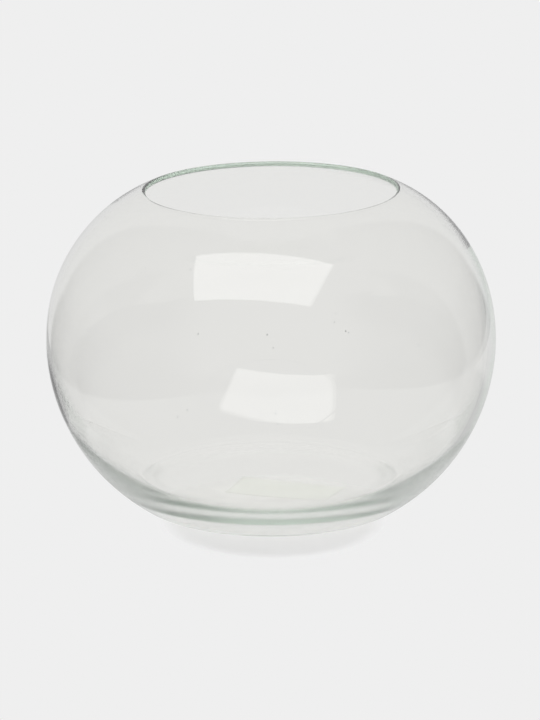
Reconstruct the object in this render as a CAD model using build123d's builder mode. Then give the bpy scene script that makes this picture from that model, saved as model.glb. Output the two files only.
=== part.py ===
from build123d import *
import os
from math import cos, hypot, radians, sin, sqrt, tan

# Rose bowl vase: a globe blown as one piece of clear glass, with a wide round mouth, a flat foot and a
# paper label stuck under its base. Millimetres and degrees. The origin is the foot's centre on the
# ground, and +Z is the bowl's axis.

# Outside of the globe
belly_diameter = 200.0
belly_height = 71.5  # height of the widest circle above the ground
bowl_height = 140.0
mouth_diameter = 110.0  # clear opening inside the lip
foot_diameter = 124.0  # where the wall's curve reaches the ground
heel_radius = 2.5  # rounding between the wall and the foot
lip_lean = 21.5  # how steeply the shoulder still rises at the lip
shoulder_rise = 0.45  # share of its height over which the shoulder leaves the belly upright
shoulder_reach = 0.60  # share of its width over which the shoulder runs straight into the lip

# Thickness of the glass
belly_wall = 2.6
lip_thickness = 2.2
base_thickness = 3.2  # from the ground to the floor inside
floor_inset = 20.0  # how far inside the foot's edge the flat floor ends
heel_top = 42.0  # height below which the inner wall leaves the outer one and the heel thickens
heel_wall_pull = 0.20  # share of the heel's span over which its curve runs on from the wall
heel_floor_pull = 0.45  # share of the heel's span over which its curve runs out flat into the floor

# Label and the recess that keeps it off the ground
label_length = 50.0
label_width = 25.0
label_thickness = 0.12
label_turn = -20.0
label_shift_x = 7.0
label_shift_y = -12.0
label_margin = 0.5  # flat glass left around the label's farthest corner
recess_depth = 0.25
recess_slope_width = 13.0  # gentle slope from the foot ring up into the recess

# Places worked out from the sizes above, as radius and height
belly_radius = belly_diameter / 2
foot_radius = foot_diameter / 2
inner_belly_radius = belly_radius - belly_wall
floor_radius = foot_radius - floor_inset
label_reach = hypot(label_length, label_width) / 2 + hypot(label_shift_x, label_shift_y)
recess_ceiling_radius = label_reach + label_margin
recess_radius = recess_ceiling_radius + recess_slope_width

# The lip is a half round whose flanks follow the shoulder
lip_radius = lip_thickness / 2
lip_centre_radius = mouth_diameter / 2 + lip_radius
lip_centre_height = bowl_height - lip_radius
lean_cos = cos(radians(lip_lean))
lean_sin = sin(radians(lip_lean))
outer_lip = (lip_centre_radius + lip_radius * lean_sin, lip_centre_height + lip_radius * lean_cos)
inner_lip = (lip_centre_radius - lip_radius * lean_sin, lip_centre_height - lip_radius * lean_cos)
lip_tip = (lip_centre_radius - lip_radius * lean_cos, lip_centre_height + lip_radius * lean_sin)

# The lower wall is an arc that is upright at the belly and passes through the foot's edge
wall_overhang = belly_radius - foot_radius
wall_radius = (wall_overhang**2 + belly_height**2) / (2 * wall_overhang)

# The inner wall keeps an even distance down to the heel, and the heel curves from there to the floor
inner_wall_radius = wall_radius - belly_wall
heel_drop = belly_height - heel_top
heel_start = (belly_radius - wall_radius + sqrt(inner_wall_radius**2 - heel_drop**2), heel_top)
floor_edge = (floor_radius, base_thickness)
heel_span = hypot(heel_start[0] - floor_edge[0], heel_start[1] - floor_edge[1])
heel_wall_run = heel_wall_pull * heel_span
heel_lean_cos = heel_drop / inner_wall_radius
heel_lean_sin = sqrt(1 - heel_lean_cos**2)
heel_wall_point = (heel_start[0] - heel_wall_run * heel_lean_cos, heel_start[1] - heel_wall_run * heel_lean_sin)
heel_floor_point = (floor_edge[0] + heel_floor_pull * heel_span, floor_edge[1])


def shoulder_points(start_radius, lip_point):
    """Control points of a shoulder curve, upright at the belly and leaning in at the lip."""
    lip_point_radius, lip_point_height = lip_point
    run = shoulder_reach * (start_radius - lip_point_radius)
    rise = shoulder_rise * (lip_point_height - belly_height)
    return (
        (start_radius, belly_height),
        (start_radius, belly_height + rise),
        (lip_point_radius + run, lip_point_height - run * tan(radians(lip_lean))),
        lip_point,
    )


# Glass bowl: wall, lip, floor and foot ring are one body of glass
with BuildPart() as glass_bowl:
    with BuildSketch(Plane.XZ):
        with BuildLine():
            # Underside, from the axis out to the foot's edge
            Line((0, recess_depth), (recess_ceiling_radius, recess_depth))
            Spline(
                (recess_ceiling_radius, recess_depth),
                (recess_radius, 0),
                tangents=((1, 0), (1, 0)),
            )
            Line((recess_radius, 0), (foot_radius, 0))
            # Outside, from the foot up to the lip
            RadiusArc((foot_radius, 0), (belly_radius, belly_height), -wall_radius)
            Bezier(*shoulder_points(belly_radius, outer_lip))
            ThreePointArc(outer_lip, lip_tip, inner_lip)
            # Inside, from the lip down to the floor
            Bezier(*shoulder_points(inner_belly_radius, inner_lip))
            RadiusArc((inner_belly_radius, belly_height), heel_start, inner_wall_radius)
            Bezier(heel_start, heel_wall_point, heel_floor_point, floor_edge)
            Line(floor_edge, (0, base_thickness))
            Line((0, base_thickness), (0, recess_depth))
        make_face()
    revolve(axis=Axis.Z)
    ground_edges = glass_bowl.edges().filter_by(GeomType.CIRCLE).group_by(Axis.Z)[0]
    fillet(ground_edges.sort_by(SortBy.RADIUS)[-1], radius=heel_radius)

# Base label: a plain paper rectangle, stuck face to face to the ceiling of the recess
with BuildPart() as base_label:
    with BuildSketch(Plane.XY.offset(recess_depth - label_thickness)):
        with Locations((label_shift_x, label_shift_y)):
            Rectangle(label_length, label_width, rotation=label_turn)
    extrude(amount=label_thickness)

glass_bowl.part.label = "glass_bowl"
base_label.part.label = "base_label"

os.makedirs("parts", exist_ok=True)
export_step(glass_bowl.part, "parts/glass_bowl.step")
export_step(base_label.part, "parts/base_label.step")
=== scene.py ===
import logging
import math
from dataclasses import dataclass, field
from enum import Enum

import bmesh
import bpy
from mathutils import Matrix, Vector, noise


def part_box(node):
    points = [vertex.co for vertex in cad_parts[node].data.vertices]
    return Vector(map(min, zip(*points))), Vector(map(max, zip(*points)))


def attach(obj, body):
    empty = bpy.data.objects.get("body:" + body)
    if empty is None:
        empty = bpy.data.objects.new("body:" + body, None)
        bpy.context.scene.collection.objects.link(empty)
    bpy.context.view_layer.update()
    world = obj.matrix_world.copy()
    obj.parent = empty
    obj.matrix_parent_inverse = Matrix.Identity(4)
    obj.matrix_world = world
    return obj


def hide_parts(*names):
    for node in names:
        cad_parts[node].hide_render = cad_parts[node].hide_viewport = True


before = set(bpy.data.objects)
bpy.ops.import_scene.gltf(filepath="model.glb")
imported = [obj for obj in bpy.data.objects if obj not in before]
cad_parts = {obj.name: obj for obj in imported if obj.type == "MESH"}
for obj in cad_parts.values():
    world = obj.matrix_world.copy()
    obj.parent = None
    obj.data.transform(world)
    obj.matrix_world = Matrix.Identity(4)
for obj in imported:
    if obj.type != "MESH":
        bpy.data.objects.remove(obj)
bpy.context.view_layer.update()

# Rose bowl vase of clear blown glass with a paper label under its base, on a pale studio floor.
# Sections are drawn in millimetres; meshes, lamps and the camera are in metres.

LOG = logging.getLogger("rose_bowl")
MM = 0.001
ROOT_BODY = "root"

Point = tuple[float, float]
Colour = tuple[float, float, float]


class Skin(Enum):
    """Which face of the glass a point of the section lies on."""

    UNDERSIDE = "underside"
    OUTSIDE = "outside"
    LIP = "lip"
    INSIDE = "inside"


class RaySort(Enum):
    """The Light Path outputs that the studio's materials tell apart."""

    CAMERA = "Is Camera Ray"
    GLOSSY = "Is Glossy Ray"
    TRANSMISSION = "Is Transmission Ray"


def smooth_step(low: float, high: float, value: float) -> float:
    """Ease from 0 at low to 1 at high.

    Args:
        low: Value at and below which the result is 0.
        high: Value at and above which the result is 1.
        value: Value to ease.

    Returns:
        A share from 0 to 1.
    """
    share = min(1.0, max(0.0, (value - low) / (high - low)))
    return share * share * (3.0 - 2.0 * share)


def bump_share(centre: float, width: float, value: float) -> float:
    """Bell-shaped share that is 1 at centre.

    Args:
        centre: Value at the bell's top.
        width: Distance over which the bell falls to about a third.
        value: Value to weigh.

    Returns:
        A share from 0 to 1.
    """
    return math.exp(-(((value - centre) / width) ** 2))


def bezier(pulls: tuple[Point, Point, Point, Point], count: int) -> list[Point]:
    """Points along a curve with four control points.

    Args:
        pulls: Control points.
        count: Number of steps.

    Returns:
        Points from the first control point to the last.
    """
    points = []
    for step in range(count + 1):
        t = step / count
        weights = ((1 - t) ** 3, 3 * t * (1 - t) ** 2, 3 * t * t * (1 - t), t**3)
        points.append(tuple(sum(w * p[axis] for w, p in zip(weights, pulls)) for axis in (0, 1)))
    return points


def angle_between(first: float, second: float) -> float:
    """Unsigned difference of two angles in degrees, at most 180."""
    return abs((first - second + 180.0) % 360.0 - 180.0)


def mesh_object(name: str, mesh: bpy.types.Mesh) -> bpy.types.Object:
    """Put a mesh in the scene as an object at the origin.

    Args:
        name: Name of the piece.
        mesh: Mesh in metres, in the part's frame.

    Returns:
        The new object.
    """
    made = bpy.data.objects.new(name, mesh)
    bpy.context.scene.collection.objects.link(made)
    return made


class ShaderGroups:
    """Node groups that more than one material uses, each made once."""

    MARKS = "handling marks"
    GRAIN = "surface grain"
    SMUDGE_EDGES = (0.52, 0.74)

    @classmethod
    def _start(cls, name: str, inputs: dict[str, float], outputs: list[str]) -> bpy.types.NodeTree:
        """Make an empty group with float sockets.

        Args:
            name: Name of the group.
            inputs: Input names with their usual values.
            outputs: Output names.

        Returns:
            The group with its input and output nodes in place.
        """
        group = bpy.data.node_groups.new(name, "ShaderNodeTree")
        for label, usual in inputs.items():
            socket = group.interface.new_socket(label, in_out="INPUT", socket_type="NodeSocketFloat")
            socket.default_value = usual
        for label in outputs:
            group.interface.new_socket(label, in_out="OUTPUT", socket_type="NodeSocketFloat")
        group.nodes.new("NodeGroupInput").name = "in"
        group.nodes.new("NodeGroupOutput").name = "out"
        group.nodes.new("ShaderNodeTexCoord").name = "place"
        return group

    @classmethod
    def handling_marks(cls) -> bpy.types.NodeTree:
        """Soft smudges left by hands, and scattered specks of dust.

        Returns:
            A group with outputs Smudge and Specks, both from 0 to 1.
        """
        if cls.MARKS in bpy.data.node_groups:
            return bpy.data.node_groups[cls.MARKS]
        usual = {"Smudge Scale": 18.0, "Speck Scale": 90.0, "Speck Size": 0.06}
        group = cls._start(cls.MARKS, usual, ["Smudge", "Specks"])
        nodes, links = group.nodes, group.links
        cloud = nodes.new("ShaderNodeTexNoise")
        cloud.inputs["Detail"].default_value = 4.0
        cloud.inputs["Roughness"].default_value = 0.55
        links.new(nodes["place"].outputs["Object"], cloud.inputs["Vector"])
        links.new(nodes["in"].outputs["Smudge Scale"], cloud.inputs["Scale"])
        links.new(ease(group, cloud.outputs["Fac"], *cls.SMUDGE_EDGES), nodes["out"].inputs["Smudge"])
        cells = nodes.new("ShaderNodeTexVoronoi")
        cells.inputs["Randomness"].default_value = 1.0
        links.new(nodes["place"].outputs["Object"], cells.inputs["Vector"])
        links.new(nodes["in"].outputs["Speck Scale"], cells.inputs["Scale"])
        dot = calc(group, "LESS_THAN", cells.outputs["Distance"], nodes["in"].outputs["Speck Size"])
        links.new(dot, nodes["out"].inputs["Specks"])
        return group

    @classmethod
    def surface_grain(cls) -> bpy.types.NodeTree:
        """Fine unevenness of a surface.

        Returns:
            A group with outputs Height and Tone, both from 0 to 1.
        """
        if cls.GRAIN in bpy.data.node_groups:
            return bpy.data.node_groups[cls.GRAIN]
        group = cls._start(cls.GRAIN, {"Scale": 400.0, "Stretch": 1.0}, ["Height", "Tone"])
        nodes, links = group.nodes, group.links
        spread = nodes.new("ShaderNodeCombineXYZ")
        spread.inputs["X"].default_value = 1.0
        spread.inputs["Z"].default_value = 1.0
        links.new(nodes["in"].outputs["Stretch"], spread.inputs["Y"])
        scaled = nodes.new("ShaderNodeVectorMath")
        scaled.operation = "MULTIPLY"
        links.new(nodes["place"].outputs["Object"], scaled.inputs[0])
        links.new(spread.outputs["Vector"], scaled.inputs[1])
        for label, detail in (("Height", 5.0), ("Tone", 2.0)):
            cloud = nodes.new("ShaderNodeTexNoise")
            cloud.inputs["Detail"].default_value = detail
            links.new(scaled.outputs["Vector"], cloud.inputs["Vector"])
            links.new(nodes["in"].outputs["Scale"], cloud.inputs["Scale"])
            links.new(cloud.outputs["Fac"], nodes["out"].inputs[label])
        return group


def calc(
    tree: bpy.types.NodeTree, operation: str, *terms: bpy.types.NodeSocket | float
) -> bpy.types.NodeSocket:
    """Add one Math node.

    Args:
        tree: Node tree to add it to.
        operation: Math operation.
        *terms: Sockets or plain numbers, in order.

    Returns:
        Socket with the result.
    """
    node = tree.nodes.new("ShaderNodeMath")
    node.operation = operation
    for socket, term in zip(node.inputs, terms):
        if isinstance(term, bpy.types.NodeSocket):
            tree.links.new(term, socket)
        else:
            socket.default_value = term
    return node.outputs[0]


def ease(
    tree: bpy.types.NodeTree, value: bpy.types.NodeSocket, start: float, end: float
) -> bpy.types.NodeSocket:
    """Add a smooth share that is 0 at start and 1 at end.

    Args:
        tree: Node tree to add it to.
        value: Socket to ease.
        start: Value at which the share is 0.
        end: Value at which the share is 1.

    Returns:
        Socket with the share.
    """
    node = tree.nodes.new("ShaderNodeMapRange")
    node.interpolation_type = "SMOOTHSTEP"
    node.inputs["From Min"].default_value = start
    node.inputs["From Max"].default_value = end
    tree.links.new(value, node.inputs["Value"])
    return node.outputs["Result"]


def choose(
    tree: bpy.types.NodeTree,
    share: bpy.types.NodeSocket,
    usual: bpy.types.NodeSocket | float,
    other: bpy.types.NodeSocket | float,
) -> bpy.types.NodeSocket:
    """Blend two values by a share.

    Args:
        tree: Node tree to add the blend to.
        share: Socket that gives the share of the other value.
        usual: Value at 0.
        other: Value at 1.

    Returns:
        Socket with the blend.
    """
    node = tree.nodes.new("ShaderNodeMix")
    tree.links.new(share, node.inputs["Factor"])
    for name, term in (("A", usual), ("B", other)):
        if isinstance(term, bpy.types.NodeSocket):
            tree.links.new(term, node.inputs[name])
        else:
            node.inputs[name].default_value = term
    return node.outputs["Result"]


def coordinates(tree: bpy.types.NodeTree, kind: str) -> tuple[bpy.types.NodeSocket, ...]:
    """Split a place or direction into its three parts.

    Args:
        tree: Node tree to add the nodes to.
        kind: Name of a Texture Coordinate output.

    Returns:
        Sockets with X, Y and Z.
    """
    place = tree.nodes.new("ShaderNodeTexCoord")
    split = tree.nodes.new("ShaderNodeSeparateXYZ")
    tree.links.new(place.outputs[kind], split.inputs["Vector"])
    return tuple(split.outputs)


def place_group(
    material: bpy.types.Material, group: bpy.types.NodeTree, **values: float
) -> bpy.types.Node:
    """Put a shared group into a material with this material's own values.

    Args:
        material: Material that uses the effect.
        group: One of the shared groups.
        **values: Input values, with underscores for the spaces of their names.

    Returns:
        The group's node.
    """
    node = material.node_tree.nodes.new("ShaderNodeGroup")
    node.node_tree = group
    for label, value in values.items():
        node.inputs[label.replace("_", " ")].default_value = value
    return node


def map_value(
    material: bpy.types.Material, source: bpy.types.NodeSocket, low: float, high: float
) -> bpy.types.NodeSocket:
    """Spread a share from 0 to 1 over a range.

    Args:
        material: Material to add the node to.
        source: Socket that gives the share.
        low: Result at 0.
        high: Result at 1.

    Returns:
        Socket with the result.
    """
    node = material.node_tree.nodes.new("ShaderNodeMapRange")
    node.inputs["To Min"].default_value = low
    node.inputs["To Max"].default_value = high
    material.node_tree.links.new(source, node.inputs["Value"])
    return node.outputs["Result"]


def mix_colour(
    material: bpy.types.Material,
    share: bpy.types.NodeSocket,
    first: bpy.types.NodeSocket | Colour,
    second: Colour,
) -> bpy.types.NodeSocket:
    """Blend two colours by a share.

    Args:
        material: Material to add the node to.
        share: Socket that gives the share of the second colour.
        first: Colour at 0, or a socket with it.
        second: Colour at 1.

    Returns:
        Socket with the colour.
    """
    tree = material.node_tree
    node = tree.nodes.new("ShaderNodeMix")
    node.data_type = "RGBA"
    tree.links.new(share, node.inputs["Factor"])
    if isinstance(first, bpy.types.NodeSocket):
        tree.links.new(first, node.inputs["A"])
    else:
        node.inputs["A"].default_value = (*first, 1.0)
    node.inputs["B"].default_value = (*second, 1.0)
    return node.outputs["Result"]


def add_bump(
    material: bpy.types.Material, height: bpy.types.NodeSocket, depth: float, strength: float
) -> None:
    """Feed a height into the material's normal.

    Args:
        material: Material with a Principled shader.
        height: Socket from 0 to 1.
        depth: Metres that a height of 1 stands for.
        strength: Share of the effect.
    """
    tree = material.node_tree
    bump = tree.nodes.new("ShaderNodeBump")
    bump.inputs["Strength"].default_value = strength
    bump.inputs["Distance"].default_value = depth
    tree.links.new(height, bump.inputs["Height"])
    tree.links.new(bump.outputs["Normal"], tree.nodes["Principled BSDF"].inputs["Normal"])


@dataclass(frozen=True)
class ClearGlass:
    """Clear soda-lime glass, faintly green in its depth and wavy in its near heel, in metres.

    Each heel and flank pair says where that share starts and where it is full.
    """

    name: str = "clear blown glass"
    ior: float = 1.52
    tint: Colour = (0.850, 0.900, 0.862)
    density: float = 9.0
    film: Colour = (0.990, 0.988, 0.975)
    speck_colour: Colour = (0.72, 0.74, 0.73)
    smudge_roughness: float = 0.012
    heel_roughness: float = 0.14
    flank_roughness: float = 0.25
    heel_radius: tuple[float, float] = (0.044, 0.054)
    heel_height: tuple[float, float] = (0.028, 0.016)
    heel_depth: tuple[float, float] = (0.045, 0.010)
    flank_side: tuple[float, float] = (0.040, 0.062)
    smudge_scale: float = 14.0
    speck_scale: float = 55.0
    speck_size: float = 0.022
    grain_scale: float = 60.0
    grain_stretch: float = 0.5
    grain_depth: float = 0.00002
    grain_strength: float = 0.15

    def material(self) -> bpy.types.Material:
        """Make the finish.

        Returns:
            A transmissive material with plain absorption in its depth.
        """
        made = bpy.data.materials.new(self.name)
        made.use_nodes = True
        tree = made.node_tree
        glass = tree.nodes["Principled BSDF"]
        glass.inputs["Transmission Weight"].default_value = 1.0
        glass.inputs["IOR"].default_value = self.ior
        marks = place_group(
            made,
            ShaderGroups.handling_marks(),
            Smudge_Scale=self.smudge_scale,
            Speck_Scale=self.speck_scale,
            Speck_Size=self.speck_size,
        )
        heel, flank = self._heel_shares(tree)
        colour = mix_colour(made, marks.outputs["Specks"], self.film, self.speck_colour)
        tree.links.new(colour, glass.inputs["Base Color"])
        rough = map_value(made, marks.outputs["Smudge"], 0.0, self.smudge_roughness)
        soft = choose(tree, flank, self.heel_roughness, self.flank_roughness)
        tree.links.new(choose(tree, heel, rough, soft), glass.inputs["Roughness"])
        grain = place_group(
            made, ShaderGroups.surface_grain(), Scale=self.grain_scale, Stretch=self.grain_stretch
        )
        add_bump(made, grain.outputs["Height"], self.grain_depth, self.grain_strength)
        depth = tree.nodes.new("ShaderNodeVolumeAbsorption")
        depth.inputs["Color"].default_value = (*self.tint, 1.0)
        depth.inputs["Density"].default_value = self.density
        tree.links.new(depth.outputs["Volume"], tree.nodes["Material Output"].inputs["Volume"])
        return made

    def _heel_shares(self, tree: bpy.types.NodeTree) -> tuple[bpy.types.NodeSocket, ...]:
        """Where the thick near heel lies, whose glass is wavy, and where its flanks are.

        Args:
            tree: Node tree of the glass.

        Returns:
            Sockets with the share of the heel and the share of the flanks.
        """
        east, north, up = coordinates(tree, "Object")
        square = calc(tree, "MULTIPLY_ADD", east, east, calc(tree, "MULTIPLY", north, north))
        heel = ease(tree, calc(tree, "SQRT", square), *self.heel_radius)
        heel = calc(tree, "MULTIPLY", heel, ease(tree, up, *self.heel_height))
        heel = calc(tree, "MULTIPLY", heel, ease(tree, north, *self.heel_depth))
        return heel, ease(tree, calc(tree, "ABSOLUTE", east), *self.flank_side)


@dataclass(frozen=True)
class LabelPaper:
    """Matt off-white label paper, blank, a little handled."""

    name: str = "label paper"
    colour: Colour = (0.88, 0.895, 0.87)
    fibre_colour: Colour = (0.82, 0.84, 0.81)
    mark_colour: Colour = (0.70, 0.71, 0.66)
    mark_share: float = 0.25
    gloss: float = 0.2
    roughness: tuple[float, float] = (0.82, 0.68)
    smudge_scale: float = 60.0
    speck_scale: float = 420.0
    speck_size: float = 0.05
    grain_scale: float = 1600.0
    grain_stretch: float = 0.35
    grain_depth: float = 0.00005
    grain_strength: float = 0.4

    def material(self) -> bpy.types.Material:
        """Make the finish.

        Returns:
            A rough material with paper fibres and handling marks.
        """
        made = bpy.data.materials.new(self.name)
        made.use_nodes = True
        tree = made.node_tree
        paper = tree.nodes["Principled BSDF"]
        paper.inputs["Specular IOR Level"].default_value = self.gloss
        grain = place_group(
            made, ShaderGroups.surface_grain(), Scale=self.grain_scale, Stretch=self.grain_stretch
        )
        marks = place_group(
            made,
            ShaderGroups.handling_marks(),
            Smudge_Scale=self.smudge_scale,
            Speck_Scale=self.speck_scale,
            Speck_Size=self.speck_size,
        )
        fibres = mix_colour(made, grain.outputs["Tone"], self.colour, self.fibre_colour)
        faint = map_value(made, marks.outputs["Smudge"], 0.0, self.mark_share)
        tree.links.new(mix_colour(made, faint, fibres, self.mark_colour), paper.inputs["Base Color"])
        rough = map_value(made, marks.outputs["Specks"], *self.roughness)
        tree.links.new(rough, paper.inputs["Roughness"])
        add_bump(made, grain.outputs["Height"], self.grain_depth, self.grain_strength)
        return made


@dataclass(frozen=True)
class HeelForm:
    """How wall and floor run together, in millimetres and shares of the inner heel's span."""

    floor_radius: float
    top: float
    wall_pull: float
    floor_pull: float
    rounding: float = 2.5


@dataclass
class BowlSection:
    """Half section of the bowl as radius and height, in millimetres and degrees."""

    belly_radius: float
    height: float
    belly_height: float = 71.5
    mouth_radius: float = 55.0
    foot_radius: float = 62.0
    lip_lean: float = 21.5
    shoulder_rise: float = 0.45
    shoulder_reach: float = 0.60
    belly_wall: float = 2.6
    lip_thickness: float = 2.2
    base_thickness: float = 3.2
    recess_depth: float = 0.25
    recess_ceiling_radius: float = 42.3
    recess_radius: float = 55.3
    ceiling_steps: int = 14
    recess_steps: int = 12
    ring_steps: int = 6
    rounding_steps: int = 12
    wall_steps: int = 110
    curve_steps: int = 90
    lip_steps: int = 20
    floor_steps: int = 16

    def lip_point(self, turn: float) -> Point:
        """Point on the half-round lip.

        Args:
            turn: Degrees from the outer flank, 0, over the tip, 90, to the inner flank, 180.

        Returns:
            Radius and height.
        """
        half = self.lip_thickness / 2.0
        angle = math.radians(90.0 - self.lip_lean + turn)
        radius = self.mouth_radius + half + half * math.cos(angle)
        return (radius, self.height - half + half * math.sin(angle))

    def shoulder(self, start_radius: float, lip_point: Point) -> list[Point]:
        """Curve from the belly up to one flank of the lip.

        Args:
            start_radius: Radius at the belly.
            lip_point: End of the curve at the lip.

        Returns:
            Points from the belly to the lip.
        """
        run = self.shoulder_reach * (start_radius - lip_point[0])
        rise = self.shoulder_rise * (lip_point[1] - self.belly_height)
        pulls = (
            (start_radius, self.belly_height),
            (start_radius, self.belly_height + rise),
            (lip_point[0] + run, lip_point[1] - run * math.tan(math.radians(self.lip_lean))),
            lip_point,
        )
        return bezier(pulls, self.curve_steps)

    def underside(self, heel: HeelForm) -> list[Point]:
        """Bottom face from the axis over the recess and the foot ring to the heel's start.

        Args:
            heel: Form of the heel.

        Returns:
            Points from the axis to the heel.
        """
        ceiling = self.recess_ceiling_radius
        points = []
        for step in range(self.ceiling_steps + 1):
            points.append((ceiling * step / self.ceiling_steps, self.recess_depth))
        width = self.recess_radius - ceiling
        for step in range(1, self.recess_steps + 1):
            share = step / self.recess_steps
            drop = self.recess_depth * smooth_step(0.0, 1.0, share)
            points.append((ceiling + width * share, self.recess_depth - drop))
        ring = self.heel_arc(heel)[0][0] - self.recess_radius
        for step in range(1, self.ring_steps):
            points.append((self.recess_radius + ring * step / self.ring_steps, 0.0))
        return points

    def wall_centre(self) -> Point:
        """Arc of the lower wall's outer face, whose centre is level with the belly.

        Returns:
            Distance of the arc's centre from the axis, and the arc's own radius.
        """
        over = self.belly_radius - self.foot_radius
        arc = (over**2 + self.belly_height**2) / (2.0 * over)
        return (self.belly_radius - arc, arc)

    def heel_arc(self, heel: HeelForm) -> list[Point]:
        """Points of the rounding between the foot ring and the wall.

        Args:
            heel: Form of the heel.

        Returns:
            Points from the ground to the wall.
        """
        across, arc = self.wall_centre()
        radius = heel.rounding
        inner = arc - radius
        rise = self.belly_height - radius
        centre = across + math.sqrt(inner**2 - rise**2)
        end = math.atan2(-rise, centre - across)
        points = []
        for step in range(self.rounding_steps + 1):
            angle = -math.pi / 2.0 + (end + math.pi / 2.0) * step / self.rounding_steps
            points.append((centre + radius * math.cos(angle), radius + radius * math.sin(angle)))
        return points

    def outside(self, heel: HeelForm) -> list[Point]:
        """Outer face from the heel up the wall to the lip's outer flank.

        Args:
            heel: Form of the heel at the bottom of the wall.

        Returns:
            Points from the ground to the lip.
        """
        across, arc = self.wall_centre()
        rounding = self.heel_arc(heel)
        start = math.atan2(rounding[-1][1] - self.belly_height, rounding[-1][0] - across)
        lower = []
        for step in range(1, self.wall_steps + 1):
            angle = start * (1.0 - step / self.wall_steps)
            lower.append((across + arc * math.cos(angle), self.belly_height + arc * math.sin(angle)))
        return rounding + lower + self.shoulder(self.belly_radius, self.lip_point(0.0))[1:]

    def inside(self, heel: HeelForm) -> list[Point]:
        """Inner face from the lip's inner flank down the wall and over the floor to the axis.

        Args:
            heel: Form of the heel at the bottom of the wall.

        Returns:
            Points from the lip to the axis.
        """
        belly = self.belly_radius - self.belly_wall
        points = self.shoulder(belly, self.lip_point(180.0))[::-1]
        across, arc = self.wall_centre()
        arc -= self.belly_wall
        end = math.asin((heel.top - self.belly_height) / arc)
        for step in range(1, self.curve_steps + 1):
            angle = end * step / self.curve_steps
            points.append((across + arc * math.cos(angle), self.belly_height + arc * math.sin(angle)))
        start = points[-1]
        span = math.hypot(start[0] - heel.floor_radius, start[1] - self.base_thickness)
        run = heel.wall_pull * span
        pulls = (
            start,
            (start[0] + run * math.sin(end), start[1] - run * math.cos(end)),
            (heel.floor_radius + heel.floor_pull * span, self.base_thickness),
            (heel.floor_radius, self.base_thickness),
        )
        points.extend(bezier(pulls, self.curve_steps)[1:])
        for step in range(1, self.floor_steps + 1):
            points.append((heel.floor_radius * (1.0 - step / self.floor_steps), self.base_thickness))
        return points

    def outline(self, heel: HeelForm) -> list[tuple[Point, Skin]]:
        """The whole section from the axis underneath, round the wall, to the axis on the floor.

        Args:
            heel: Form of the heel.

        Returns:
            Points with the face of the glass that each lies on.
        """
        lip = [self.lip_point(180.0 / self.lip_steps * step) for step in range(1, self.lip_steps)]
        runs = (
            (self.underside(heel), Skin.UNDERSIDE),
            (self.outside(heel), Skin.OUTSIDE),
            (lip, Skin.LIP),
            (self.inside(heel), Skin.INSIDE),
        )
        return [(point, skin) for run, skin in runs for point in run]


@dataclass
class BlownUnevenness:
    """Small departures of blown glass from a true turned form, in millimetres and degrees."""

    height: float
    belly_height: float = 71.5
    rim_tilt: float = 0.55
    rim_reach: float = 58.5
    rim_margin: float = 6.0
    wall_shift: float = 0.75
    shift_rise: Point = (2.0, 22.0)
    shift_margin: float = 8.0
    ripple: float = 0.02
    ripple_length: float = 26.0
    ripple_stretch: float = 0.8
    ripple_rise: Point = (2.0, 20.0)
    ripple_margin: Point = (14.0, 3.0)
    inner_ripple: float = 280.0
    streak: float = 0.06
    streak_rise: Point = (1.5, 5.0)
    streak_fade: Point = (12.5, 25.0)
    streak_angle: float = -50.0
    streak_spread: float = 34.0
    streak_least: float = 0.25
    streak_turns: float = 1.6
    streak_length: float = 4.5
    inner_streak: float = 9.0
    inner_floor: float = 4.6

    def place(self, point: Point, skin: Skin, angle: float) -> Vector:
        """Where a point of the section comes to lie at one angle round the bowl.

        Args:
            point: Radius and height of the section.
            skin: Face of the glass that the point lies on.
            angle: Radians round the axis from +X.

        Returns:
            Place in metres.
        """
        radius, height = point
        east, north = math.cos(angle), math.sin(angle)
        if skin is not Skin.UNDERSIDE:
            radius -= self._ripple(radius, height, skin, angle) + self._streaks(height, skin, angle)
        across, along = radius * east, radius * north
        if skin is Skin.INSIDE:
            fade = smooth_step(self.belly_height, self.height - self.shift_margin, height)
            across -= self.wall_shift * (smooth_step(*self.shift_rise, height) * (1.0 - fade))
        margin = self.rim_margin
        upper = smooth_step(self.belly_height + margin, self.height - margin, height)
        height -= upper * (self.rim_reach - across) * math.tan(math.radians(self.rim_tilt))
        return Vector((across, along, height)) * MM

    def _ripple(self, radius: float, height: float, skin: Skin, angle: float) -> float:
        """Gentle waves all over the wall.

        Args:
            radius: Radius of the section's point.
            height: Height of the section's point.
            skin: Face of the glass.
            angle: Radians round the axis from +X.

        Returns:
            Inward move, never negative.
        """
        first, last = self.ripple_margin
        share = smooth_step(*self.ripple_rise, height)
        share *= 1.0 - smooth_step(self.height - first, self.height - last, height)
        offset = self.inner_ripple if skin is Skin.INSIDE else 0.0
        up = height * self.ripple_stretch + offset
        spot = Vector((radius * math.cos(angle), radius * math.sin(angle), up))
        return share * self.ripple * (0.5 + 0.5 * noise.noise(spot / self.ripple_length))

    def _streaks(self, height: float, skin: Skin, angle: float) -> float:
        """Long ripples round the heel, strongest on one side.

        Args:
            height: Height of the section's point.
            skin: Face of the glass.
            angle: Radians round the axis from +X.

        Returns:
            Inward move, never negative.
        """
        share = smooth_step(*self.streak_rise, height) * (1.0 - smooth_step(*self.streak_fade, height))
        if share <= 0.0 or (skin is Skin.INSIDE and height < self.inner_floor):
            return 0.0
        off = angle_between(math.degrees(angle), self.streak_angle)
        near = bump_share(0.0, self.streak_spread, off)
        strong = self.streak_least + (1.0 - self.streak_least) * near
        offset = self.inner_streak if skin is Skin.INSIDE else 0.0
        turns = self.streak_turns
        up = height / self.streak_length + offset
        spot = Vector((turns * math.cos(angle), turns * math.sin(angle), up))
        return share * strong * self.streak * (0.5 + 0.5 * noise.noise(spot))


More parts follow.
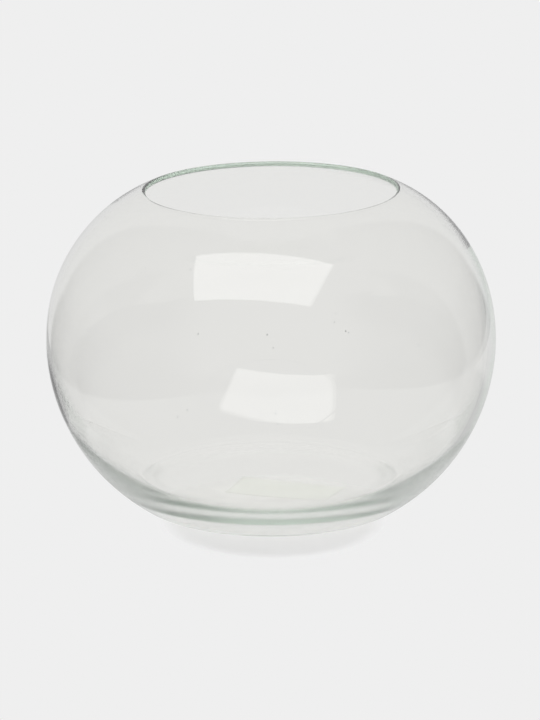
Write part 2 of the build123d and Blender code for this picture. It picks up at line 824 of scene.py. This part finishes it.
@dataclass(frozen=True)
class Seed:
    """A tiny bubble in the wall: its angle round the axis, height, width and stretch upwards."""

    angle: float
    height: float
    width: float
    stretch: float = 1.6


@dataclass
class GlassBowl:
    """The bowl: wall, lip, floor and foot ring, blown as one body of glass."""

    name: str = "blown_glass_bowl"
    node: str = "glass_bowl"
    slot: str = "clear_glass"
    segments: int = 288
    heel: HeelForm = HeelForm(floor_radius=42.0, top=42.0, wall_pull=0.20, floor_pull=0.45)
    front_heel: HeelForm = HeelForm(floor_radius=34.0, top=31.0, wall_pull=0.22, floor_pull=0.55)
    back_heel: HeelForm = HeelForm(
        floor_radius=58.9, top=5.0, wall_pull=0.34, floor_pull=0.34, rounding=12.0
    )
    back_reach: tuple[float, float] = (-0.35, 0.75)
    inset: float = 0.06
    seeds: tuple[Seed, ...] = (
        Seed(-108.5, 98.5, 0.45),
        Seed(-91.0, 99.5, 0.5),
        Seed(-89.5, 94.5, 0.35),
        Seed(-71.0, 99.5, 0.5),
        Seed(-73.0, 106.5, 0.3),
        Seed(-113.0, 63.5, 0.35),
        Seed(-172.0, 129.0, 0.5),
        Seed(24.0, 96.0, 0.4),
        Seed(71.0, 52.0, 0.45),
        Seed(128.0, 84.0, 0.4),
        Seed(196.0, 61.0, 0.45),
    )
    section: BowlSection = field(init=False)
    unevenness: BlownUnevenness = field(init=False)

    def __post_init__(self) -> None:
        """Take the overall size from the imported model."""
        low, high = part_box(self.node)
        belly_radius = (high.x - low.x) / 2.0 / MM - self.inset
        self.section = BowlSection(belly_radius=belly_radius, height=high.z / MM - self.inset)
        self.unevenness = BlownUnevenness(height=self.section.height)

    def build(self) -> bpy.types.Object:
        """Turn the section round the axis, with its unevenness and seeds.

        Returns:
            The glass as one closed mesh.
        """
        shape = bmesh.new()
        rings = []
        turns = [2.0 * math.pi * step / self.segments for step in range(self.segments)]
        shares = [self._heel_shares(turn) for turn in turns]
        forms = (self.heel, self.front_heel, self.back_heel)
        for same in zip(*(self.section.outline(form) for form in forms)):
            point, skin = same[0]
            if point[0] < 1e-6:
                rings.append([shape.verts.new((0.0, 0.0, point[1] * MM))])
                continue
            ring = []
            for turn, parts in zip(turns, shares):
                spots = [spot for spot, _ in same]
                here = tuple(sum(p * spot[axis] for p, spot in zip(parts, spots)) for axis in (0, 1))
                ring.append(shape.verts.new(self.unevenness.place(here, skin, turn)))
            rings.append(ring)
        for ring, above in zip(rings, rings[1:]):
            self._join(shape, ring, above)
        bmesh.ops.recalc_face_normals(shape, faces=shape.faces)
        for seed in self.seeds:
            self._add_seed(shape, seed)
        for face in shape.faces:
            face.smooth = True
        mesh = bpy.data.meshes.new(self.name)
        shape.to_mesh(mesh)
        shape.free()
        return mesh_object(self.name, mesh)

    def _heel_shares(self, turn: float) -> tuple[float, float, float]:
        """How far the heel takes its side, front and back form at one angle.

        Args:
            turn: Radians round the axis from +X.

        Returns:
            Shares of the three forms, which add up to 1.
        """
        front = max(0.0, -math.sin(turn)) ** 2
        back = smooth_step(*self.back_reach, math.sin(turn))
        return (1.0 - front - back, front, back)

    def _join(self, shape: bmesh.types.BMesh, ring: list, above: list) -> None:
        """Fill the band between two rings, either of which may be a point on the axis.

        Args:
            shape: Mesh that is being made.
            ring: Vertices of the first ring.
            above: Vertices of the next ring.
        """
        for step in range(self.segments):
            after = (step + 1) % self.segments
            if len(ring) == 1:
                corners = (ring[0], above[after], above[step])
            elif len(above) == 1:
                corners = (ring[step], ring[after], above[0])
            else:
                corners = (ring[step], ring[after], above[after], above[step])
            shape.faces.new(corners)

    def _add_seed(self, shape: bmesh.types.BMesh, seed: Seed) -> None:
        """Leave a small bubble half way through the wall.

        Args:
            shape: Mesh that is being made.
            seed: The bubble.
        """
        outline = self.section.outline(self.heel)
        near = []
        for skin in (Skin.OUTSIDE, Skin.INSIDE):
            points = [point for point, face in outline if face is skin]
            near.append(min(points, key=lambda point: abs(point[1] - seed.height)))
        radius = sum(point[0] for point in near) / 2.0
        angle = math.radians(seed.angle)
        made = bmesh.ops.create_icosphere(shape, subdivisions=2, radius=seed.width / 2.0 * MM)
        centre = Vector((radius * math.cos(angle), radius * math.sin(angle), seed.height)) * MM
        faces = set()
        for vert in made["verts"]:
            vert.co.z *= seed.stretch
            vert.co += centre
            faces.update(vert.link_faces)
        bmesh.ops.reverse_faces(shape, faces=list(faces))

    def dress(self, piece: bpy.types.Object) -> None:
        """Give the glass its finish and its place in the frame.

        Args:
            piece: The built glass.
        """
        piece.data.materials.append(ClearGlass().material())
        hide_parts(self.node)
        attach(piece, ROOT_BODY)


@dataclass
class BaseLabel:
    """Blank paper label stuck in the recess under the base, in millimetres and degrees."""

    name: str = "paper_label"
    node: str = "base_label"
    slot: str = "label_paper"
    length: float = 50.0
    width: float = 25.0
    thickness: float = 0.10
    turn: float = -20.0
    shift: Point = (7.0, -12.0)
    ceiling: float = 0.235
    lift: float = 0.05
    crease: float = 0.55
    crease_at: float = 0.22
    crease_width: float = 0.035
    crease_lean: float = 0.06
    lifted_across: tuple[float, float] = (0.72, 1.0)
    lifted_along: tuple[float, float] = (0.5, 1.0)
    steps: tuple[int, int] = (60, 30)

    def build(self) -> bpy.types.Object:
        """Make the sheet, with a slack crease and a lifted edge.

        Returns:
            The label as one closed mesh.
        """
        shape = bmesh.new()
        across, along = self.steps
        layers = []
        for drop in (0.0, self.thickness):
            layer = []
            for row in range(along + 1):
                spots = [self._place(col / across, row / along, drop) for col in range(across + 1)]
                layer.append([shape.verts.new(spot) for spot in spots])
            layers.append(layer)
        top, under = layers
        for row in range(along):
            for col in range(across):
                corners = ((row, col), (row, col + 1), (row + 1, col + 1), (row + 1, col))
                shape.faces.new([top[r][c] for r, c in corners])
                shape.faces.new([under[r][c] for r, c in corners[:1] + corners[:0:-1]])
        edge = [(row, 0) for row in range(along)] + [(along, col) for col in range(across)]
        edge += [(row, across) for row in range(along, 0, -1)]
        edge += [(0, col) for col in range(across, 0, -1)]
        for (row, col), (then, there) in zip(edge, edge[1:] + edge[:1]):
            shape.faces.new((top[row][col], top[then][there], under[then][there], under[row][col]))
        bmesh.ops.recalc_face_normals(shape, faces=shape.faces)
        for face in shape.faces:
            face.smooth = abs(face.normal.z) > 0.5
        mesh = bpy.data.meshes.new(self.name)
        shape.to_mesh(mesh)
        shape.free()
        return mesh_object(self.name, mesh)

    def _place(self, across: float, along: float, drop: float) -> Vector:
        """Where a point of the sheet lies.

        Args:
            across: Share of the length.
            along: Share of the width.
            drop: Depth below the sheet's upper face.

        Returns:
            Place in metres.
        """
        folded = across + self.crease_lean * along
        slack = self.crease * bump_share(self.crease_at, self.crease_width, folded)
        slack += smooth_step(*self.lifted_across, across) * smooth_step(*self.lifted_along, along)
        sheet = Vector(((across - 0.5) * self.length, (along - 0.5) * self.width, 0.0))
        angle = math.radians(self.turn)
        east = sheet.x * math.cos(angle) - sheet.y * math.sin(angle) + self.shift[0]
        north = sheet.x * math.sin(angle) + sheet.y * math.cos(angle) + self.shift[1]
        return Vector((east, north, self.ceiling - drop - self.lift * slack)) * MM

    def dress(self, piece: bpy.types.Object) -> None:
        """Give the label its finish and its place in the frame.

        Args:
            piece: The built label.
        """
        piece.data.materials.append(LabelPaper().material())
        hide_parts(self.node)
        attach(piece, ROOT_BODY)


@dataclass
class Studio:
    """Pale floor, soft light and camera, in metres and degrees.

    The lane is the bare floor between the cards: half its width at the bowl, and how far that spreads per
    metre behind. The far cards have a tone and its change per metre of X. Other pairs say where a change
    starts and where it is full.
    """

    pale: float = 0.863
    floor_colour: Colour = (0.863, 0.863, 0.863)
    sheet_low: tuple[float, float] = (-0.22, -0.45)
    sheet_high: tuple[float, float] = (0.30, 0.90)
    floor_drop: float = 0.0001
    floor_grain: float = 500.0
    floor_fleck: float = 0.995
    floor_roughness: float = 0.9
    # Painted shadow: the floor is darker inside a disc in front of the bowl, where a share of real
    # shading replaces its pale glow.
    shadow_share: float = 0.56
    painted_shadow_at: tuple[float, float, float] = (0.001, -0.039, 0.0)
    painted_shadow_reach: tuple[float, float] = (0.0415, 0.0495)
    lane: tuple[float, float] = (0.096, 0.30)
    card_near: float = 0.57
    card_far: tuple[float, float] = (0.60, 0.50)
    card_edge: tuple[float, float] = (-0.005, 0.005)
    card_start: tuple[float, float] = (-0.02, 0.01)
    card_change: tuple[float, float] = (0.09, 0.13)
    fill: float = 0.75
    fill_lean: float = 0.6
    backdrop_edge: float = 36.5
    backdrop_turn: float = 1.5
    backdrop_blur: float = 0.04
    backdrop_taper: float = 0.6
    front_bearing: tuple[float, float] = (115.0, 150.0)
    overhead_rise: tuple[float, float] = (0.75, 0.92)
    flag_rise: tuple[float, float] = (0.0, 0.2)
    below_rise: tuple[float, float] = (0.0, -0.06)
    through: float = 0.80
    through_front: float = 0.72
    through_top: float = 0.55
    flag: float = 0.42
    flag_high: float = 0.60
    room_side: float = 0.48
    room_front: float = 0.62
    room_back: float = 0.64
    room_top: float = 0.55
    room_low: float = 0.40
    room_floor: float = 0.70
    softbox_at: tuple[float, float, float] = (-0.08, -0.37, 0.8515)
    softbox_size: tuple[float, float] = (0.89, 0.54)
    softbox_watts: float = 1.95
    aim: tuple[float, float, float] = (0.0, 0.0, 0.07)
    view_height: float = 0.07075
    view_side: float = -0.00045
    view_elevation: float = 16.11
    view_distance: float = 1.15
    view_row: float = 338.9
    focal_pixels: float = 2578.9
    image_height: int = 720
    sensor_height: float = 36.0
    clip_start: float = 0.01
    bounces: int = 64

    def build(self) -> None:
        """Set up the floor, the world, the lamp and the camera."""
        self._floor()
        self._world()
        self._softbox()
        self._camera()
        scene = bpy.context.scene
        scene.view_settings.view_transform = "Standard"
        scene.cycles.max_bounces = self.bounces
        scene.cycles.glossy_bounces = self.bounces
        scene.cycles.transmission_bounces = self.bounces
        scene.cycles.blur_glossy = 0.0

    def _seen_share(self, tree: bpy.types.NodeTree, *sorts: RaySort) -> bpy.types.NodeSocket:
        """Share that is 1 for rays of the given sorts and 0 for the others.

        Args:
            tree: Node tree of the floor or the world.
            *sorts: Sorts of ray to pick out.

        Returns:
            Socket with the share.
        """
        path = tree.nodes.new("ShaderNodeLightPath")
        share = path.outputs[sorts[0].value]
        for sort in sorts[1:]:
            share = calc(tree, "MAXIMUM", share, path.outputs[sort.value])
        return share

    def _floor(self) -> None:
        """Lay a pale paper floor that glows where it is seen, with a painted shadow disc in front of the
        bowl, inside which a share of real shading, the object's shadow with it, is mixed in.
        """
        shape = bmesh.new()
        west, south = self.sheet_low
        east, north = self.sheet_high
        corners = ((west, south), (east, south), (east, north), (west, north))
        shape.faces.new([shape.verts.new((x, y, -self.floor_drop)) for x, y in corners])
        mesh = bpy.data.meshes.new("studio_floor")
        shape.to_mesh(mesh)
        shape.free()
        floor = mesh_object("studio_floor", mesh)
        paper = bpy.data.materials.new("floor paper")
        paper.use_nodes = True
        tree = paper.node_tree
        shade = tree.nodes["Principled BSDF"]
        shade.inputs["Roughness"].default_value = self.floor_roughness
        shade.inputs["Specular IOR Level"].default_value = 0.0
        grain = place_group(paper, ShaderGroups.surface_grain(), Scale=self.floor_grain, Stretch=1.0)
        fleck = tuple(channel * self.floor_fleck for channel in self.floor_colour)
        flecked = mix_colour(paper, grain.outputs["Tone"], self.floor_colour, fleck)
        tree.links.new(flecked, shade.inputs["Base Color"])
        glow = tree.nodes.new("ShaderNodeEmission")
        through = self._seen_share(tree, RaySort.TRANSMISSION)
        tone = self._with_cards(tree, choose(tree, through, self.room_floor, self.through))
        tone = choose(tree, self._seen_share(tree, RaySort.CAMERA), tone, self.pale)
        tree.links.new(tone, glow.inputs["Strength"])
        seen = self._seen_share(tree, RaySort.CAMERA, RaySort.GLOSSY, RaySort.TRANSMISSION)
        # Painted shadow: inside a disc in front of the bowl the pale glow gives way to a share of real
        # shading, so the floor there is darker even where nothing blocks the light; the bowl's real
        # shadow shows only inside that disc.
        place = tree.nodes.new("ShaderNodeTexCoord")
        away = tree.nodes.new("ShaderNodeVectorMath")
        away.operation = "DISTANCE"
        away.inputs[1].default_value = self.painted_shadow_at
        tree.links.new(place.outputs["Object"], away.inputs[0])
        clear = ease(tree, away.outputs["Value"], *self.painted_shadow_reach)
        share = calc(tree, "MULTIPLY", seen, choose(tree, clear, 1.0 - self.shadow_share, 1.0))
        blend = tree.nodes.new("ShaderNodeMixShader")
        tree.links.new(share, blend.inputs["Fac"])
        tree.links.new(shade.outputs["BSDF"], blend.inputs[1])
        tree.links.new(glow.outputs["Emission"], blend.inputs[2])
        tree.links.new(blend.outputs["Shader"], tree.nodes["Material Output"].inputs["Surface"])
        floor.data.materials.append(paper)

    def _with_cards(self, tree: bpy.types.NodeTree, tone: bpy.types.NodeSocket) -> bpy.types.NodeSocket:
        """Lay darker cards at both sides behind the bowl, which only its glass shows.

        Args:
            tree: Node tree of the floor.
            tone: Socket with the bare floor's tone.

        Returns:
            Socket with the tone of floor and cards.
        """
        east, north, _ = coordinates(tree, "Object")
        start, spread = self.lane
        half = calc(tree, "MULTIPLY_ADD", north, spread, start)
        past = calc(tree, "SUBTRACT", calc(tree, "ABSOLUTE", east), half)
        beside = ease(tree, past, *self.card_edge)
        beside = calc(tree, "MULTIPLY", beside, ease(tree, north, *self.card_start))
        level, lean = self.card_far
        far = calc(tree, "MULTIPLY_ADD", east, lean, level)
        card = choose(tree, ease(tree, north, *self.card_change), self.card_near, far)
        return choose(tree, beside, tone, card)

    def _world(self) -> None:
        """Light from all round: pale where it is seen, soft as fill, a dim room in reflections."""
        world = bpy.data.worlds.new("studio")
        world.use_nodes = True
        bpy.context.scene.world = world
        tree = world.node_tree
        tree.nodes.clear()
        side, back, rise = coordinates(tree, "Generated")
        turn = calc(tree, "ARCTAN2", side, back)
        turn = calc(tree, "ADD", turn, math.radians(self.backdrop_turn))
        bearing = calc(tree, "ABSOLUTE", turn)
        edge = math.radians(self.backdrop_edge)
        low = calc(tree, "MAXIMUM", calc(tree, "MULTIPLY", rise, -self.backdrop_taper), 0.0)
        aside = calc(tree, "ADD", bearing, low)
        backdrop = ease(tree, aside, edge + self.backdrop_blur, edge - self.backdrop_blur)
        front = ease(tree, bearing, *(math.radians(angle) for angle in self.front_bearing))
        room = choose(tree, front, self.room_side, self.room_front)
        room = choose(tree, ease(tree, rise, *self.below_rise), room, self.room_low)
        room = choose(tree, backdrop, room, self.room_back)
        overhead = ease(tree, rise, *self.overhead_rise)
        through = choose(tree, ease(tree, rise, *self.flag_rise), self.flag, self.flag_high)
        through = choose(tree, front, through, self.through_front)
        through = choose(tree, overhead, through, self.through_top)
        through = choose(tree, backdrop, through, self.through)
        room = choose(tree, overhead, room, self.room_top)
        seen = choose(tree, self._seen_share(tree, RaySort.TRANSMISSION), room, through)
        seen = choose(tree, self._seen_share(tree, RaySort.CAMERA), seen, self.pale)
        path = tree.nodes.new("ShaderNodeLightPath")
        lit = calc(tree, "GREATER_THAN", path.outputs["Diffuse Depth"], 0.5)
        fill = calc(tree, "MULTIPLY_ADD", back, self.fill * self.fill_lean, self.fill)
        light = tree.nodes.new("ShaderNodeBackground")
        light.inputs["Color"].default_value = (1.0, 1.0, 1.0, 1.0)
        tree.links.new(choose(tree, lit, seen, fill), light.inputs["Strength"])
        out = tree.nodes.new("ShaderNodeOutputWorld")
        tree.links.new(light.outputs["Background"], out.inputs["Surface"])

    def _softbox(self) -> None:
        """Hang a wide soft lamp above the front of the bowl."""
        lamp = bpy.data.lights.new("softbox", "AREA")
        lamp.shape = "RECTANGLE"
        lamp.size, lamp.size_y = self.softbox_size
        lamp.energy = self.softbox_watts
        hung = bpy.data.objects.new("softbox", lamp)
        bpy.context.scene.collection.objects.link(hung)
        hung.visible_diffuse = False
        hung.location = self.softbox_at
        hung.rotation_euler = (Vector(self.aim) - hung.location).to_track_quat("-Z", "Y").to_euler()

    def _camera(self) -> None:
        """Stand the camera where the photograph was taken from."""
        camera = bpy.data.cameras.new("studio_camera")
        stand = bpy.data.objects.new("studio_camera", camera)
        bpy.context.scene.collection.objects.link(stand)
        rise = math.radians(self.view_elevation)
        stand.location = (
            self.view_side,
            -self.view_distance * math.cos(rise),
            self.view_height + self.view_distance * math.sin(rise),
        )
        pitch = rise - math.atan((self.view_row - self.image_height / 2.0) / self.focal_pixels)
        stand.rotation_euler = (math.pi / 2.0 - pitch, 0.0, 0.0)
        camera.sensor_fit = "VERTICAL"
        camera.sensor_height = self.sensor_height
        camera.lens = self.focal_pixels * camera.sensor_height / self.image_height
        camera.clip_start = self.clip_start
        bpy.context.scene.camera = stand


def main() -> None:
    """Build and dress every piece, then set up the studio."""
    logging.basicConfig(level=logging.INFO, format="%(message)s")
    for part in (GlassBowl(), BaseLabel()):
        piece = part.build()
        part.dress(piece)
        LOG.info("%s: %d faces", piece.name, len(piece.data.polygons))
    Studio().build()


if __name__ == "__main__":
    main()
